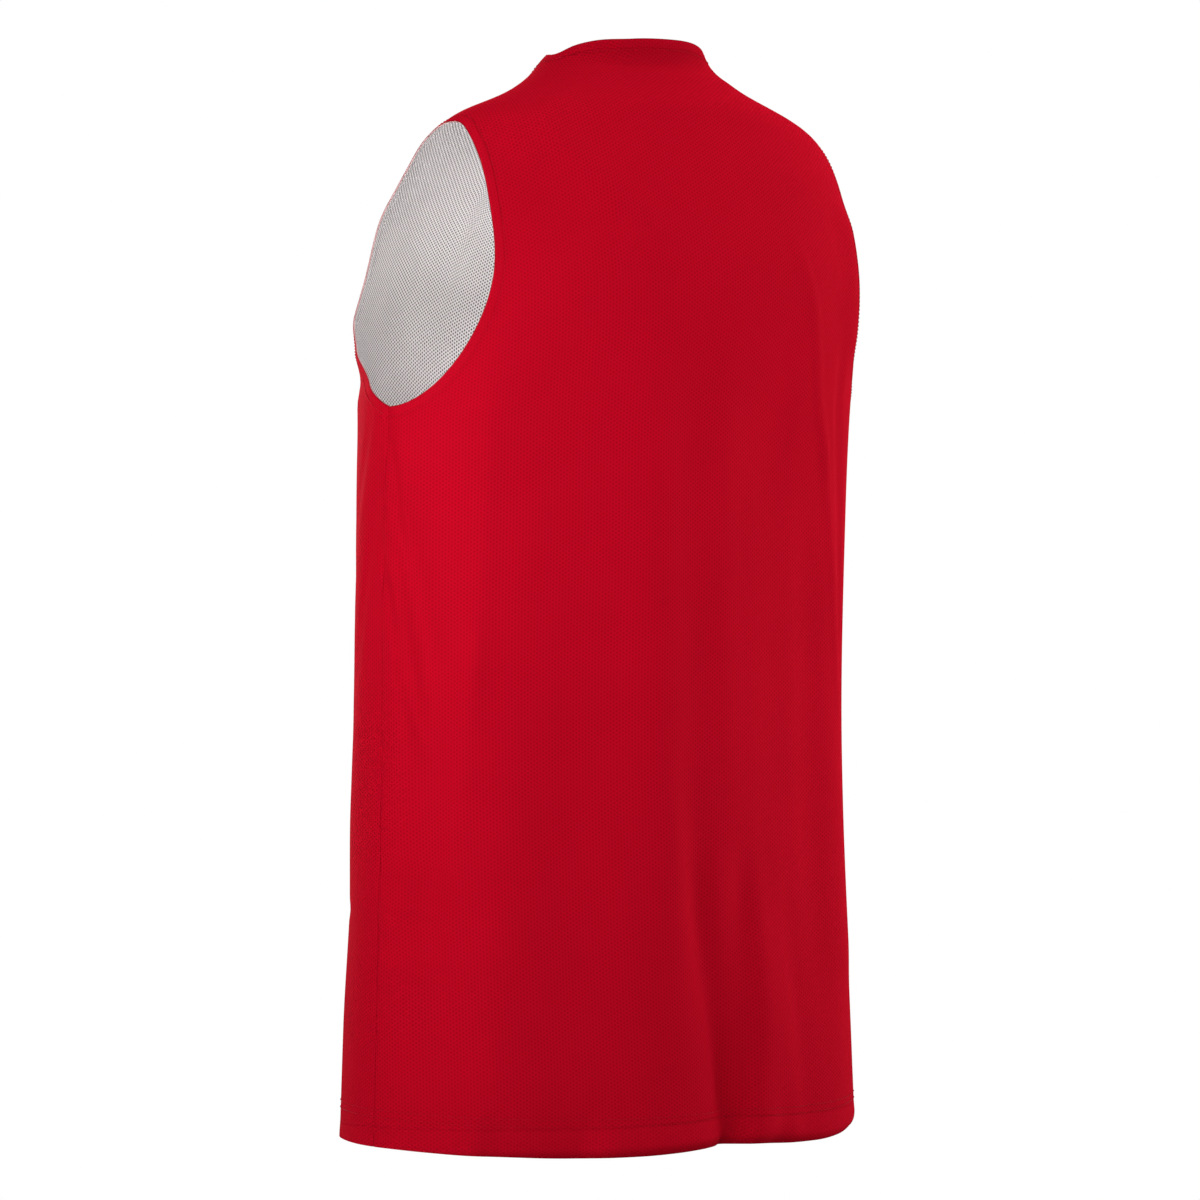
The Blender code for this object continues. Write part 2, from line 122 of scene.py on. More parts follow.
# ---- finer creases, each from one place to another: half width, out and bow in mm ----
CREASE_COLUMNS = ("from_angle", "from_height", "to_angle", "to_height",
                  "from_half", "to_half", "from_out", "to_out", "bow")
CREASES = (
    # turn of the back into the side, below the armhole on the wearer's left
    (53, 0.54, 56.5, 0.31, 14, 13, 1.2, 1.9, 2),
    (56.5, 0.36, 62.5, 0.13, 13, 17, 1.8, 1.3, -3),
    (68, 0.48, 71, 0.15, 34, 32, -2.6, -3.2, 2),
    # the flat of the back ends in a ridge, then falls away to the right in two steps
    (34, 0.55, 31, 0.10, 46, 44, -2.4, -2.6, 3),
    (14.5, 0.56, 9, 0.16, 34, 31, 3.8, 5.4, -2),
    (0.5, 0.54, -2.5, 0.24, 28, 27, 1.2, 2, 0),
    (-15, 0.54, -17, 0.14, 38, 38, -5.6, -6.4, 0),
    (-27, 0.53, -28.5, 0.08, 46, 46, -6.6, -7.6, 0),
    (-37, 0.50, -39, 0.10, 34, 34, -4, -5, 0),
    # the hem tucks under, left of the centre back
    (28, -0.006, 54, 0.002, 62, 52, -7, -6.5, 0),
    # creases that fan down from the underarm, wearer's left
    (87, 0.505, 66.5, 0.265, 10, 12, -1.8, -2.2, 3),
    (88, 0.42, 69, 0.265, 9, 10, -1.8, -1.8, -2),
    (79, 0.46, 66.5, 0.33, 10, 11, 1.2, 1.3, 2),
    # small ripples low on the left side
    (86, 0.200, 60, 0.186, 13, 11, -3.2, -2.2, 2),
    (86, 0.168, 60, 0.158, 11, 11, 2.6, 2, -2),
    (84, 0.134, 64, 0.124, 12, 11, -2.2, -1.5, 0),
    # right of the centre back: the lit ridge and the dark line beside it
    (-22, 0.635, -40, 0.48, 10, 9, 1.1, 1.6, -2),
    (-38, 0.51, -51.5, 0.30, 9, 10, 1.5, 1.3, 1),
    (-44, 0.56, -55, 0.34, 14, 14, -2.2, -2.4, 1),
    # valleys that meet at the hem
    (6, 0.27, -7, -0.01, 20, 11, -2.2, -4.2, -4),
    (-10, 0.20, -7, -0.01, 13, 9, -2.4, -3.2, 5),
    (-2, 0.21, -6, 0.05, 16, 10, 1.2, 0.4, 0),
    (-11, 0.16, -10, -0.01, 12, 10, 0.8, 2, 0),
    (-16, 0.24, -16.5, -0.01, 20, 20, -1.2, -3, 0),
    (-19, 0.035, -18.5, -0.01, 15, 13, -0.8, -2, 0),
    # the upper back: a soft ridge from beside the neck towards the middle, and the dip outside it
    (56, 0.737, 15, 0.640, 13, 18, 3.4, 2.4, 0),
    (62, 0.706, 34, 0.645, 15, 20, -2.2, -1.6, 0),
    # fullness beside the right armhole, and the slack below it
    (-52, 0.66, -50, 0.56, 34, 34, 3.6, 3.2, 0),
    (-60, 0.545, -46, 0.51, 20, 22, -1.4, -0.8, 0),
    # the left side's slack, the underarm's dip and the shoulder in front of its seam
    (122, 0.44, 122, 0.13, 80, 80, -2.6, -2.6, 0),
    (98, 0.540, 128, 0.534, 19, 20, -3.2, -2.6, 0),
    (94, 0.722, 116, 0.706, 12, 12, -1, -1.6, 0),
    (121, 0.660, 118, 0.570, 40, 40, 1.6, 3.6, 0),
    # the right side draws in towards the hem
    (-52, 0.12, -52, -0.01, 44, 44, -1.8, -2.2, 0),
    # underarm of the wearer's right, as on the left
    (-80, 0.50, -68, 0.30, 8, 12, -0.9, -0.4, -3),
    (-84, 0.42, -72, 0.29, 8, 10, -0.8, -0.4, 2),
    (-84, 0.19, -68, 0.20, 10, 9, -0.9, -0.5, 2),
    (-82, 0.16, -66, 0.165, 8, 8, 0.7, 0.4, -1),
    # front, from the underarms and down from the chest
    (98, 0.50, 116, 0.31, 9, 13, -1, -0.5, -3),
    (-98, 0.49, -114, 0.33, 9, 12, -0.9, -0.5, 3),
    (94, 0.42, 108, 0.29, 8, 11, -0.7, -0.4, 2),
    (-95, 0.43, -110, 0.28, 8, 11, -0.8, -0.4, -2),
    (150, 0.50, 158, 0.24, 16, 20, 0.7, 1, 4),
    (-150, 0.48, -161, 0.26, 16, 18, 0.7, 1, -4),
    (171, 0.21, 166, -0.01, 14, 10, -0.9, -1.8, 2),
    (-166, 0.19, -160, -0.01, 12, 10, -0.9, -1.6, -2),
    (118, 0.16, 106, 0.17, 10, 9, -0.9, -0.5, 2),
    (-120, 0.15, -108, 0.165, 10, 9, -0.8, -0.5, -2),
)
CREASE_END = 0.30            # share of a crease's length over which each end dies out
MEAN_RADIUS = 0.82           # the mean radius of a ring as a share of its half width

# The back of the neck stands upright: the ring drawn in below the neckline
NECK_STAND_HEIGHT = 0.763
NECK_STAND_HALF = 0.0160
NECK_STAND_IN = 5.5 * MM
NECK_STAND_ANGLE = 8.0
NECK_STAND_REACH = 95.0      # degrees to either side of that angle
NECK_STAND_FADE = 60.0

# Places round a ring: angle and half width in degrees, amount in mm
PLACE_COLUMNS = ("angle", "half", "amount")

# Lifts of the neckline
NECK_LIFTS = (
    (60, 17, 2.6),
    (97, 14, -3.6),
)
NECK_LIFT_FOOT = 0.742
NECK_LIFT_REACH = 0.030

# Lifts of the hem
HEM_LIFTS = (
    (34, 18, -2.6),
    (63, 10, -1.2),
    (96, 20, -1.2),
    (3, 8, 1),
    (-8, 9, 2.5),
    (-54, 12, 3.5),
    (186, 16, 2),
    (140, 18, -1.5),
)
HEM_LIFT_REACH = 0.05

# Places where the hem's edge rolls further in
HEM_ROLLS = (
    (-56, 13, 3.2),
    (40, 15, 3.5),
    (-18, 6, 7),
    (-5.5, 2.5, 5),
    (-128, 16, 3),
)
HEM_ROLL_REACH = 15.0 * MM
HEM_CURL_REACH = 9.0 * MM    # the turned edge rounds under over this height
HEM_CURL_IN = 2.2 * MM
HEM_STITCH_HEIGHT = 20.5 * MM
HEM_PUFF = 0.35 * MM         # fullness between the hem's stitches and its edge

# ---- cloth and its edges ----
CLOTH_THICKNESS = 0.6 * MM
LAYER_GAP = 0.25 * MM
SEAM_INSET = 0.20 * MM       # each panel stops this far short of a seam line
RIM_BEYOND = 0.12 * MM       # the rounded rim of a panel beyond its last points
OPEN_RIM_BEYOND = 0.05 * MM  # the same where the outer layer's edge is open
REVERSE_HEM_RISE = 4.0 * MM
SEAM_DIP = 0.15 * MM
SEAM_DIP_REACH = 2.2 * MM
EDGE_ROLL_REACH = 2.6 * MM   # the outer layer rounds in over this width at an armhole or the neck
EDGE_ROLL_IN = 0.35 * MM
PIPING_BEYOND = 0.25 * MM    # the reverse shows this far past the outer layer's edge
PIPING_LIP = 0.35 * MM       # and rises this far over it, at the armholes
TOPSTITCH_INSET = 7.0 * MM

# ---- mesh density, for each half of a panel ----
NECK_COLUMNS = 22
SEAM_COLUMNS = 56
SIDE_ROWS = 130
ARM_ROWS = 64
NECK_SHARE = 0.36
EDGE_CROWDING = 0.55         # 0 spaces rows and columns evenly, more crowds them at the edges
BACK_CENTRE_AT_UNDERARM = 0.462
FRONT_CENTRE_AT_UNDERARM = 0.450
LINE_POINTS = 400            # points on each cut line
EDGE_POINTS = 90             # points on a cut line that distances are taken to
HEM_LINE_POINTS = 1441
LEVEL_POINTS = 2001          # points of the table from height to level
ANGLE_STEP = 0.05            # steps over which the surface's slope is taken
LEVEL_STEP = 0.0005
TINY = 1e-18                 # keeps a division by a squared length from 0

# Laying a panel flat: the grid's stride and the rounds of relaxing at each stage
FLAT_STAGES = ((8, 1500), (4, 600), (2, 200), (1, 60))
RELAX_STEP = 1.6

# ---- stitches ----
STITCH_PITCH = 3.0 * MM
STITCH_LENGTH = 2.4 * MM
THREAD_RADIUS = 0.22 * MM
HEM_ROW_GAP = 5.0 * MM
STITCH_RINGS = 5
STITCH_SIDES = 6
STITCH_HUMP = 0.9            # rise of a stitch's middle over its ends, in thread thicknesses
STITCH_SINK = 0.25           # depth of its ends, in the same measure
STITCH_TAPER = 1.85
STITCH_TIP = 0.05            # the least share of its section left at the ends
THREAD_TWIST_SCALE = 1500.0
THREAD_SHADOW = 0.75         # darkest colour between the twists, as a share
THREAD_ROUGHNESS = 0.6
THREAD_SPECULAR = 0.05

# ---- eyelet cloth ----
EYELET_ACROSS = 4.5          # mm between eyelets of one row
EYELET_UP = 2.7              # mm between rows that line up
EYELET_RADIUS = 0.70         # mm
EYELET_FADE = 0.28           # an eyelet's edge fades over this share of its radius, either way
EDGE_EYELETS = 0.75          # share of an eyelet that shows through the doubled cloth of an edge
EDGE_FADE = 0.1
HEM_EYELETS = 0.8            # and through that of the hem
HEM_FADE = 0.03

# Body colours; the deep colours fill the painted eyelets (the layer behind and painted shade in each
# hole) and are painted shade in grooves and up the neck; the edge colours are painted shade along open
# edges and the hem
RED = (0.470, 0.0024, 0.0140, 1.0)
RED_DEEP_AND_PAINTED_SHADE = (0.300, 0.0010, 0.0085, 1.0)
WHITE = (0.960, 0.915, 0.915, 1.0)
WHITE_DEEP_AND_PAINTED_SHADE = (0.070, 0.055, 0.055, 1.0)
RED_PAINTED_EDGE_SHADE = (0.230, 0.0008, 0.0060, 1.0)
WHITE_PAINTED_EDGE_SHADE = (0.560, 0.330, 0.330, 1.0)
# Distances or heights between which a colour fades, and its share where it is strongest
OPEN_EDGE_PAINTED_SHADE_SPAN = (0.3 * MM, 0.5 * MM)    # edge colour as painted shade of the rolled rim, from the very edge of an armhole or the neck
HEM_PAINTED_SHADOW_SPAN = (0.5 * MM, 8.5 * MM)    # edge colour as painted shadow of the turned hem, up from the hem
HEM_PAINTED_SHADOW_SHARE = 0.85
NECK_PAINTED_SHADE_SPAN = (0.014, 0.056)         # deep colour up the doubled cloth of the neck: painted shade of the upright neck, partly the darker doubled cloth
NECK_PAINTED_SHADE_SHARE = 0.36
NECK_RELIEF = 0.2            # share of the eyelets' relief left at the top of the neck
STITCH_GROOVE_HALF = 1.3 * MM
HEM_GROOVE_HALF = 1.4 * MM
SEAM_GROOVE_HALF = 1.2 * MM
SEAM_GROOVE_SHARE = 0.5      # a seam's groove, as a share of a topstitched one
GROOVE_RELIEF = 0.35         # reliefs are shares of the bump's distance
YARN_RELIEF = 0.006
YARN_SCALE = 900.0
DRIFT_SCALE = 14.0           # slow unevenness of the cloth's colour
DRIFT_RANGE = (0.3, 0.7)
DRIFT_DEPTH = 0.10
BUMP_STRENGTH = 0.8
CLOTH_SPECULAR = 0.005
SHEEN_ROUGHNESS = 0.5
SHEEN_TINT = 2.0             # the sheen's colour as a multiple of the cloth's

# ---- camera ----
CAMERA_AZIMUTH = 140.0
CAMERA_DISTANCE = 4.8
CAMERA_HEIGHT = -0.331
CAMERA_ASIDE = -0.0212
CAMERA_LENS = 203.8
SENSOR = 36.0

# ---- lamps and floor: turn in degrees to the right of the camera, sizes and places in metres ----
PURE_WHITE = (1.0, 1.0, 1.0, 1.0)
AMBIENT = 0.10
LAMP_COLUMNS = ("name", "turn", "out", "height", "size", "watts", "aim_aside", "aim_height", "spread")
LAMPS = (
    ("key_left", -20, 2, 0.10, 0.8, 1.30, 0, -0.20, 60),
    ("side_left", -40, 2, 0.10, 0.8, 1.40, 0, -0.20, 60),
    ("rim_left", -140, 2, 0.10, 0.8, 5.20, 0, -0.20, 60),
    ("side_right", 100, 2, 0.10, 0.8, 2.30, 0, -0.20, 60),
    ("back_right", 120, 2, 0.10, 0.8, 1.30, 0, -0.20, 60),
    ("rim_right", 140, 2, 0.10, 0.8, 0.40, 0, -0.20, 60),
    ("foot_right", 120, 1.60, -0.75, 0.7, 0.85, 0, -0.55, 50),
    ("top", 0, 0.01, 1.40, 1, 15, 0, 0, 180),
    ("shoulder_right", 80, 1.20, 0.70, 0.6, 1.20, 0, -0.05, 90),
    ("low_left", -50, 1.60, -1, 0.8, 6.40, 0, 0, 180),
    ("low_centre", -20, 1.60, -1, 0.8, 2.30, 0, 0, 180),
    ("low_right", 10, 1.60, -1, 0.8, 6.60, 0, 0, 180),
    ("armhole_left", -25, 1.60, -0.90, 0.5, 0.43, -0.12, 0, 34),
    ("inside", 90, 0.09, -0.16, 0.08, 0.10, -0.15, -0.12, 180),
)
FLOOR_HEIGHT = -1.2
FLOOR_RADIUS = 4.5
FLOOR_SIDES = 96
FLOOR_RINGS = (0.1, 0.3, 0.6, 1.0)
FLOOR_LOW = (0.80, 0.80, 0.80, 1.0)
FLOOR_HIGH = (0.86, 0.86, 0.86, 1.0)
FLOOR_SPECKLE_SCALE = 3.0
FLOOR_ROUGHNESS = 0.9
FLOOR_SPECULAR = 0.5


def records(columns, rows):
    """Each row of a table by the names of its columns."""
    return [dict(zip(columns, row)) for row in rows]


def natural_spline(knots, values):
    """A smooth curve through a row of values at each knot, with no bend at either end."""
    knots = np.asarray(knots, float)
    values = np.asarray(values, float)
    count = len(knots)
    span = np.diff(knots)
    system = np.eye(count)
    right = np.zeros((count, values.shape[1]))
    slope = np.diff(values, axis=0) / span[:, None]
    for i in range(1, count - 1):
        system[i, i - 1] = span[i - 1]
        system[i, i] = 2 * (span[i - 1] + span[i])
        system[i, i + 1] = span[i]
        right[i] = 6 * (slope[i] - slope[i - 1])
    bend = np.linalg.solve(system, right)

    def curve(at):
        at = np.asarray(at, float)
        i = np.clip(np.searchsorted(knots, at, side="right") - 1, 0, count - 2)
        width = span[i][..., None]
        after = (at - knots[i])[..., None]
        before = width - after
        cubic = (bend[i] * before**3 + bend[i + 1] * after**3) / (6 * width)
        from_low = (values[i] / width - bend[i] * width / 6) * before
        from_high = (values[i + 1] / width - bend[i + 1] * width / 6) * after
        return cubic + from_low + from_high

    return curve


def paired(first, second):
    """Pairs of numbers, such as the (angle, level) rows of a line; either may be one number."""
    return np.stack(np.broadcast_arrays(first, second), axis=-1)


def lengths_along(points, axis=0):
    """The length run so far at each point, from 0 at the first."""
    steps = np.linalg.norm(np.diff(points, axis=axis), axis=-1)
    return np.insert(np.cumsum(steps, axis=axis), 0, 0.0, axis=axis)


def section_spline():
    given = dict(zip(SECTION_COLUMNS, np.transpose(SECTIONS)))
    side = paired(given["half_width"], given["height"])
    spine = paired(given["centre_y"] + given["back_depth"], given["height"])
    knots = lengths_along(side) + lengths_along(spine)
    return natural_spline(knots / knots[-1], SECTIONS)


SECTION_SPLINE = section_spline()


def section_at(level):
    """The body's section at a level, by the names of the table's columns."""
    return dict(zip(SECTION_COLUMNS, np.moveaxis(SECTION_SPLINE(level), -1, 0)))


LEVELS = np.linspace(0, 1, LEVEL_POINTS)
HEIGHTS = section_at(LEVELS)["height"]


def level_at(height):
    return np.interp(height, HEIGHTS, LEVELS)


def half_width_at(level):
    return section_at(level)["half_width"]


def smooth_step(x):
    x = np.clip(x, 0, 1)
    return x * x * (3 - 2 * x)


def bell(x):
    """1 at 0, falling softly to 0 at 1 and beyond."""
    return (1 + np.cos(np.pi * np.clip(np.abs(x), 0, 1))) / 2


def turn_between(angle, other):
    return (angle - other + 180) % 360 - 180


def between(row, first, last, share):
    return row[first] + (row[last] - row[first]) * share


def unit(vectors):
    return vectors / np.linalg.norm(vectors, axis=-1, keepdims=True)


def ring_point(angle, level):
    """A point of the body before its folds, with heights counted from the hem."""
    section = section_at(level)
    turn = np.radians(angle)
    towards_back = np.cos(turn)
    depth = np.where(towards_back >= 0, section["back_depth"], section["front_depth"])
    x = section["half_width"] * np.sin(turn)
    y = section["centre_y"] + depth * towards_back
    z = section["height"] + section["front_rise"] * (1 - towards_back) / 2
    return np.stack([x, y, z], axis=-1)


def slopes(angle, level, point_at):
    """How far a point moves for each degree, and for each level."""
    low = np.clip(level - LEVEL_STEP, 0, 1)
    high = np.clip(level + LEVEL_STEP, 0, 1)
    round_ring = point_at(angle + ANGLE_STEP, level) - point_at(angle - ANGLE_STEP, level)
    up_ring = point_at(angle, high) - point_at(angle, low)
    return round_ring / (2 * ANGLE_STEP), up_ring / (high - low)[..., None]


def outward_normal(angle, level, point_at):
    by_angle, by_level = slopes(angle, level, point_at)
    return unit(np.cross(by_level, by_angle))


def fold_out(angle, height):
    """How far the solids' folds push the cloth out, in metres."""
    total = np.zeros(np.broadcast(angle, height).shape)
    for fold in records(FOLD_COLUMNS, FOLDS):
        length = fold["head_height"] - fold["foot_height"]
        down = np.clip((fold["head_height"] - height) / length, 0, 1)
        centre = between(fold, "head_angle", "foot_angle", down)
        half = between(fold, "head_half", "foot_half", down)
        out = between(fold, "head_out", "foot_out", down)
        across = bell(turn_between(angle, centre) / (FOLD_SPREAD * half))
        below_head = smooth_step((fold["head_height"] + FOLD_FADE / 2 - height) / FOLD_FADE)
        above_foot = 1.0
        if fold["foot_height"] > OPEN_FOOT:
            above_foot = smooth_step((height - fold["foot_height"] + FOLD_FADE / 2) / FOLD_FADE)
        total = total + out * MM * across * below_head * above_foot
    return total


def crease_out(angle, level, height):
    """How far the finer creases push the cloth out, in metres."""
    per_degree = np.radians(1.0) * half_width_at(level) * MEAN_RADIUS
    total = np.zeros(np.broadcast(angle, height).shape)
    for crease in records(CREASE_COLUMNS, CREASES):
        aside = turn_between(angle, crease["from_angle"]) * per_degree
        rise = height - crease["from_height"]
        run = (crease["to_angle"] - crease["from_angle"]) * per_degree
        climb = crease["to_height"] - crease["from_height"]
        length = np.hypot(run, climb)
        along = (aside * run + rise * climb) / length**2
        inside = np.clip(along, 0, 1)
        bow = crease["bow"] * MM * 4 * inside * (1 - inside)
        off = (aside * climb - rise * run) / length - bow
        half = between(crease, "from_half", "to_half", inside) * MM
        out = between(crease, "from_out", "to_out", inside) * MM
        ends = smooth_step((along + CREASE_END / 2) / CREASE_END)
        if crease["to_height"] > 0:
            ends = ends * smooth_step((1 + CREASE_END / 2 - along) / CREASE_END)
        total = total + out * bell(off / half) * ends
    return total


def neck_out(angle, height):
    """Draws the flare in just below the back neckline, so that the top of the neck stands upright."""
    aside = np.abs(turn_between(angle, NECK_STAND_ANGLE))
    there = smooth_step((NECK_STAND_REACH - aside) / NECK_STAND_FADE)
    return -NECK_STAND_IN * there * bell((height - NECK_STAND_HEIGHT) / NECK_STAND_HALF)


def amount_at(places, angle):
    """The sum of a table's places round the ring at an angle, in metres."""
    total = np.zeros(np.shape(angle))
    for place in records(PLACE_COLUMNS, places):
        aside = turn_between(angle, place["angle"])
        total = total + place["amount"] * MM * bell(aside / (2 * place["half"]))
    return total


def neck_lift(angle, height):
    return amount_at(NECK_LIFTS, angle) * smooth_step((height - NECK_LIFT_FOOT) / NECK_LIFT_REACH)


def hem_lift(angle, height):
    return amount_at(HEM_LIFTS, angle) * (1 - smooth_step(height / HEM_LIFT_REACH))


def hem_out(angle, height):
    """The fullness of the turned hem above its rounded edge, and the rolls of that edge."""
    curl = -HEM_CURL_IN * np.clip(1 - height / HEM_CURL_REACH, 0, 1) ** 2
    puff = HEM_PUFF * np.sin(np.pi * np.clip(height / HEM_STITCH_HEIGHT, 0, 1))
    roll = amount_at(HEM_ROLLS, angle) * np.clip(1 - height / HEM_ROLL_REACH, 0, 1) ** 2
    return curl + puff - roll


def cloth_point(angle, level):
    """A point of the outer face of the cloth, creases included, in the part's frame."""
    base = ring_point(angle, level)
    height = base[..., 2]
    out = fold_out(angle, height) + crease_out(angle, level, height)
    out = out + neck_out(angle, height) + hem_out(angle, height)
    placed = base + out[..., None] * outward_normal(angle, level, ring_point)
    placed[..., 2] += hem_lift(angle, height) + neck_lift(angle, height) - HELD_HEIGHT
    return placed


# ---- cut lines of the pieces, each a row of (angle, level) ----

def armhole_line():
    """Round the left armhole from the underarm up the back, over the shoulder and down the front."""
    turn = np.linspace(0, 2 * np.pi, LINE_POINTS)
    height = (ARM_TOP + ARM_BOTTOM) / 2 - (ARM_TOP - ARM_BOTTOM) / 2 * np.cos(turn)
    on_back = turn <= np.pi
    width = np.where(on_back, ARM_BACK_WIDTH, ARM_FRONT_WIDTH)
    lean = np.where(on_back, ARM_BACK_LEAN, ARM_FRONT_LEAN)
    low_half = smooth_step((1 + np.cos(turn)) / 2)
    front_power = ARM_FRONT_SQUARENESS + (ARM_FRONT_UNDERCUT - ARM_FRONT_SQUARENESS) * low_half
    power = np.where(on_back, ARM_BACK_SQUARENESS, front_power)
    swing = np.sign(np.sin(turn)) * np.abs(np.sin(turn)) ** power
    angle = SIDE_SEAM_ANGLE - width * swing * (1 - lean * np.cos(turn))
    return paired(angle, level_at(height))


def neck_line():
    """The left half of the neckline from the centre back to the centre front."""
    back_angle = np.linspace(0, 90, LINE_POINTS)
    back_height = NECK_TOP - NECK_SIDE_DIP * np.sin(np.radians(back_angle)) ** NECK_DIP_POWER
    back = paired(back_angle, level_at(back_height))
    turn = np.linspace(0, np.pi / 2, LINE_POINTS)[1:]
    level = level_at(NECK_TOP - NECK_SIDE_DIP - NECK_FRONT_DROP * np.sin(turn))
    from_side = np.arcsin(np.clip(NECK_HALF_WIDTH * np.cos(turn) / half_width_at(level), 0, 1))
    return np.concatenate([back, paired(180 - np.degrees(from_side), level)])


def run_lengths(line):
    return lengths_along(ring_point(line[:, 0], line[:, 1]))


def read_off(line, runs, at):
    """A line's pairs at some runs along it, from the runs at its own points."""
    return np.stack([np.interp(at, runs, values) for values in line.T], axis=-1)


def point_along(line, length):
    return read_off(line, run_lengths(line), length)


def split_line(line, length):
    runs = run_lengths(line)
    joint = point_along(line, length)[None]
    before = np.concatenate([line[runs < length], joint])
    after = np.concatenate([joint, line[runs > length]])
    return before, after


def spaced(line, shares):
    return point_along(line, shares * run_lengths(line)[-1])


def crowded(count, at_start=False):
    """Shares from 0 to 1, drawn closer together at the end, or at the start."""
    even = np.linspace(0, 1, count + 1)
    drawn = 1 - np.sin(np.pi / 2 * (1 - even)) if at_start else np.sin(np.pi / 2 * even)
    return even + (drawn - even) * EDGE_CROWDING


def cut_lines():
    """The armhole, neckline and shoulder seam as the back and the front share them."""
    arm = armhole_line()
    to_tip = run_lengths(arm)[np.argmax(arm[:, 1])]
    arm_back, arm_front = split_line(arm, to_tip + SEAM_FORWARD_AT_ARM)
    neck = neck_line()
    to_ridge = run_lengths(neck)[LINE_POINTS - 1]
    neck_back, neck_front = split_line(neck, to_ridge + SEAM_FORWARD_AT_NECK)
    share = np.linspace(0, 1, LINE_POINTS)[:, None]
    seam = neck_back[-1] * (1 - share) + arm_back[-1] * share
    return {
        "back": (arm_back, neck_back),
        "front": (arm_front[::-1], neck_front[::-1]),
        "seam": seam,
        "underarm_level": arm[0, 1],
    }


LINES = cut_lines()
CENTRE = {"back": 0.0, "front": 180.0}
CENTRE_AT_UNDERARM = {"back": BACK_CENTRE_AT_UNDERARM, "front": FRONT_CENTRE_AT_UNDERARM}


def to_flat(line, centre):
    """A line as (half widths times degrees from the centre, level), where grids are filled in."""
    return paired(half_width_at(line[..., 1]) * np.abs(line[..., 0] - centre), line[..., 1])


def from_flat(flat, centre):
    return paired(np.abs(centre - flat[..., 0] / half_width_at(flat[..., 1])), flat[..., 1])


def panel_places(side, hem_height):
    """(angle, level) of each grid point of the back or the front, hem row first."""
    arm, neck = LINES[side]
    centre = CENTRE[side]
    hem_level = level_at(hem_height)
    side_shares = crowded(SIDE_ROWS, at_start=True)
    seam_levels = hem_level + (LINES["underarm_level"] - hem_level) * side_shares
    side_seam = paired(SIDE_SEAM_ANGLE, seam_levels)
    outer = np.concatenate([side_seam, spaced(arm, crowded(ARM_ROWS))[1:]])
    neck_shares = np.linspace(0, 1, NECK_COLUMNS + 1)
    seam_shares = crowded(SEAM_COLUMNS)
    top = np.concatenate([spaced(neck, neck_shares), spaced(LINES["seam"], seam_shares)[1:]])
    across = np.concatenate([neck_shares * NECK_SHARE, NECK_SHARE + (1 - NECK_SHARE) * seam_shares[1:]])
    up = run_lengths(outer) / run_lengths(outer)[-1]
    hem = paired(centre + (SIDE_SEAM_ANGLE - centre) * across, hem_level)
    underarm_level = level_at(CENTRE_AT_UNDERARM[side])
    centre_level = np.interp(up, [0, up[SIDE_ROWS], 1], [hem_level, underarm_level, top[0, 1]])
    inner = paired(centre, centre_level)

    hem, top, inner, outer = (to_flat(line, centre) for line in (hem, top, inner, outer))
    s, r = (grid[..., None] for grid in np.meshgrid(across, up))
    corners = (1 - s) * (1 - r) * hem[0] + s * (1 - r) * hem[-1] + (1 - s) * r * top[0] + s * r * top[-1]
    blend = (1 - r) * hem[None] + r * top[None] + (1 - s) * inner[:, None] + s * outer[:, None] - corners
    left = from_flat(blend, centre)
    right = left[:, :0:-1] * np.array([-1, 1])
    return np.concatenate([right, left], axis=1)


# ---- distances over the cloth and the flat cut ----

def distance_to(points, lines):
    """Straight distance from each point to the nearest of some densely drawn lines."""
    flat_points = points.reshape(-1, 3)
    nearest = np.full(len(flat_points), np.inf)
    for line in lines:
        for start, step in zip(line[:-1], np.diff(line, axis=0)):
            square = max(step @ step, TINY)
            share = np.clip((flat_points - start) @ step / square, 0, 1)
            off = np.linalg.norm(flat_points - start - share[:, None] * step, axis=1)
            nearest = np.minimum(nearest, off)
    return nearest.reshape(points.shape[:-1])


def relax_lengths(flat, targets, rounds):
    """Moves the points of a flat grid until its edges and diagonals have their lengths on the cloth."""
    for _ in range(rounds):
        shift = np.zeros_like(flat)
        count = np.zeros(flat.shape[:2])
        for first, second, target in targets:
            gap = flat[second] - flat[first]
            length = np.linalg.norm(gap, axis=-1)
            push = gap * ((length - target) / (2 * length))[..., None]
            shift[first] += push
            shift[second] -= push
            count[first] += 1
            count[second] += 1
        flat = flat + RELAX_STEP * shift / count[..., None]
    return flat


NEIGHBOURS = (
    ((slice(None), slice(None, -1)), (slice(None), slice(1, None))),
    ((slice(None, -1), slice(None)), (slice(1, None), slice(None))),
    ((slice(None, -1), slice(None, -1)), (slice(1, None), slice(1, None))),
    ((slice(None, -1), slice(1, None)), (slice(1, None), slice(None, -1))),
)


def stretched(lines, picked, count):
    """Lines of (across, up) values, given at the picked points, filled in at all of them."""
    return np.array([read_off(line, picked, np.arange(count)) for line in lines])


def flat_cut(points):
    """The panel laid flat with as little stretch as possible: (across, up) of each grid point."""
    rows, columns = points.shape[:2]
    middle = columns // 2
    across = lengths_along(points, axis=1)
    across -= across[:, middle:middle + 1]
    flat = paired(across, lengths_along(points))
    for stride, rounds in FLAT_STAGES:
        pick_rows = np.unique(np.append(np.arange(0, rows, stride), rows - 1))
        pick_columns = np.unique(np.append(np.arange(0, columns, stride), columns - 1))
        coarse = points[np.ix_(pick_rows, pick_columns)]
        targets = [(a, b, np.linalg.norm(coarse[b] - coarse[a], axis=-1)) for a, b in NEIGHBOURS]
        before = flat[np.ix_(pick_rows, pick_columns)]
        change = relax_lengths(before, targets, rounds) - before
        by_row = stretched(change, pick_columns, columns)
        flat = flat + stretched(by_row.swapaxes(0, 1), pick_rows, rows).swapaxes(0, 1)
    return flat - flat[0, middle]


# ---- building a panel's shell ----

